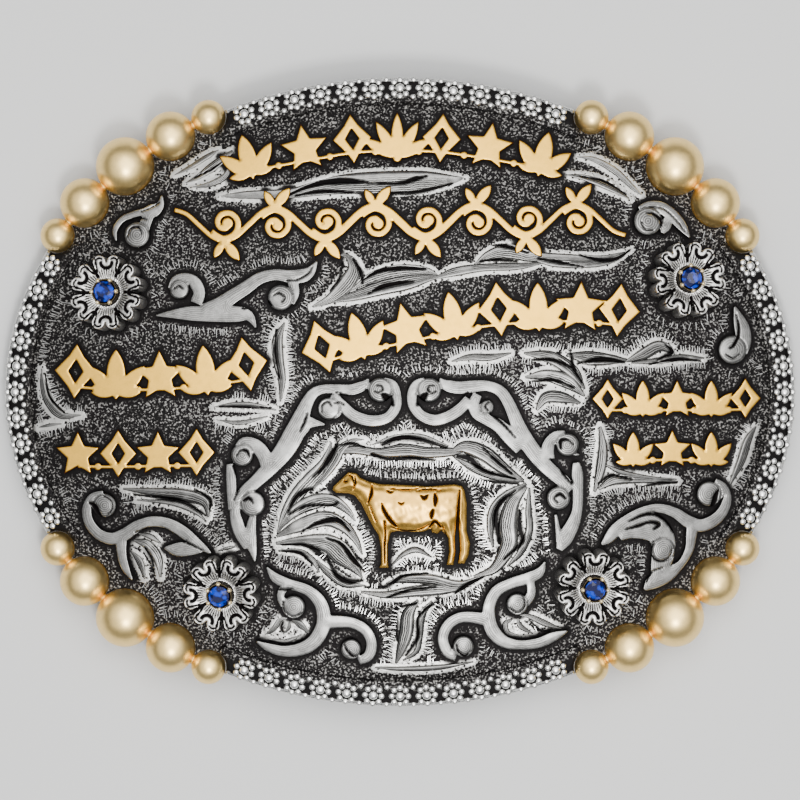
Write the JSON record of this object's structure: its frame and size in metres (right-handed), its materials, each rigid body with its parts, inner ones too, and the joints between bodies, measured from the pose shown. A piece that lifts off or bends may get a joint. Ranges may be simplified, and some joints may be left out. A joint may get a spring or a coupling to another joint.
{
  "type": "western trophy buckle",
  "caption": "Oval domed belt buckle with raised scrolls, bronze ornaments and cow, stone-set flowers, berry trims, corner beads, and a loop and hook behind for the belt.",
  "frame": {"origin": "on the surface where the buckle lies, under the middle of its oval", "axes": "+X to the right of the face as seen from the front, +Y to its top, +Z out of the face"},
  "size_m": [0.1148, 0.091, 0.0154],
  "materials": {
    "antiqued_silver": "engraved silver with a blackened ground",
    "trim_silver": "bright cast berries with dark hollows",
    "satin_bronze": "satin",
    "flower_silver": "cast, darkened in the grooves",
    "pale_gold": "polished",
    "blue_stone": "cut and polished",
    "cow_bronze": "satin with darkened hollows",
    "ornament_bronze": "satin with darker edges",
    "scroll_silver": "satin with engraved lines",
    "plain_silver": "plain brushed"
  },
  "bodies": {
    "root": {"base_plate": "antiqued_silver", "trim_top": "trim_silver", "trim_bottom": "trim_silver", "trim_left": "trim_silver", "trim_right": "trim_silver", "bead_top_left_1": "satin_bronze", "bead_top_left_2": "satin_bronze", "bead_top_left_3": "satin_bronze", "bead_top_left_4": "satin_bronze", "bead_top_left_5": "satin_bronze", "bead_top_right_1": "satin_bronze", "bead_top_right_2": "satin_bronze", "bead_top_right_3": "satin_bronze", "bead_top_right_4": "satin_bronze", "bead_top_right_5": "satin_bronze", "bead_bottom_left_1": "satin_bronze", "bead_bottom_left_2": "satin_bronze", "bead_bottom_left_3": "satin_bronze", "bead_bottom_left_4": "satin_bronze", "bead_bottom_left_5": "satin_bronze", "bead_bottom_right_1": "satin_bronze", "bead_bottom_right_2": "satin_bronze", "bead_bottom_right_3": "satin_bronze", "bead_bottom_right_4": "satin_bronze", "bead_bottom_right_5": "satin_bronze", "flower_top_left": "flower_silver", "flower_top_right": "flower_silver", "flower_bottom_left": "flower_silver", "flower_bottom_right": "flower_silver", "setting_top_left": "pale_gold", "setting_top_right": "pale_gold", "setting_bottom_left": "pale_gold", "setting_bottom_right": "pale_gold", "stone_top_left": "blue_stone", "stone_top_right": "blue_stone", "stone_bottom_left": "blue_stone", "stone_bottom_right": "blue_stone", "cow": "cow_bronze", "crest_row": "ornament_bronze", "vine_row": "ornament_bronze", "banner_row_left": "ornament_bronze", "banner_row_right": "ornament_bronze", "left_row": "ornament_bronze", "right_row_upper": "ornament_bronze", "right_row_lower": "ornament_bronze", "scroll_frame_left": "scroll_silver", "scroll_frame_right": "scroll_silver", "scroll_foot_left": "scroll_silver", "scroll_foot_right": "scroll_silver", "scroll_corner_left": "scroll_silver", "scroll_corner_right": "scroll_silver", "scroll_shoulder_left": "scroll_silver", "scroll_curl_upper_left": "scroll_silver", "scroll_curl_upper_right": "scroll_silver", "scroll_curl_right": "scroll_silver", "belt_loop": "plain_silver", "belt_hook": "plain_silver"}
  },
  "joints": []
}
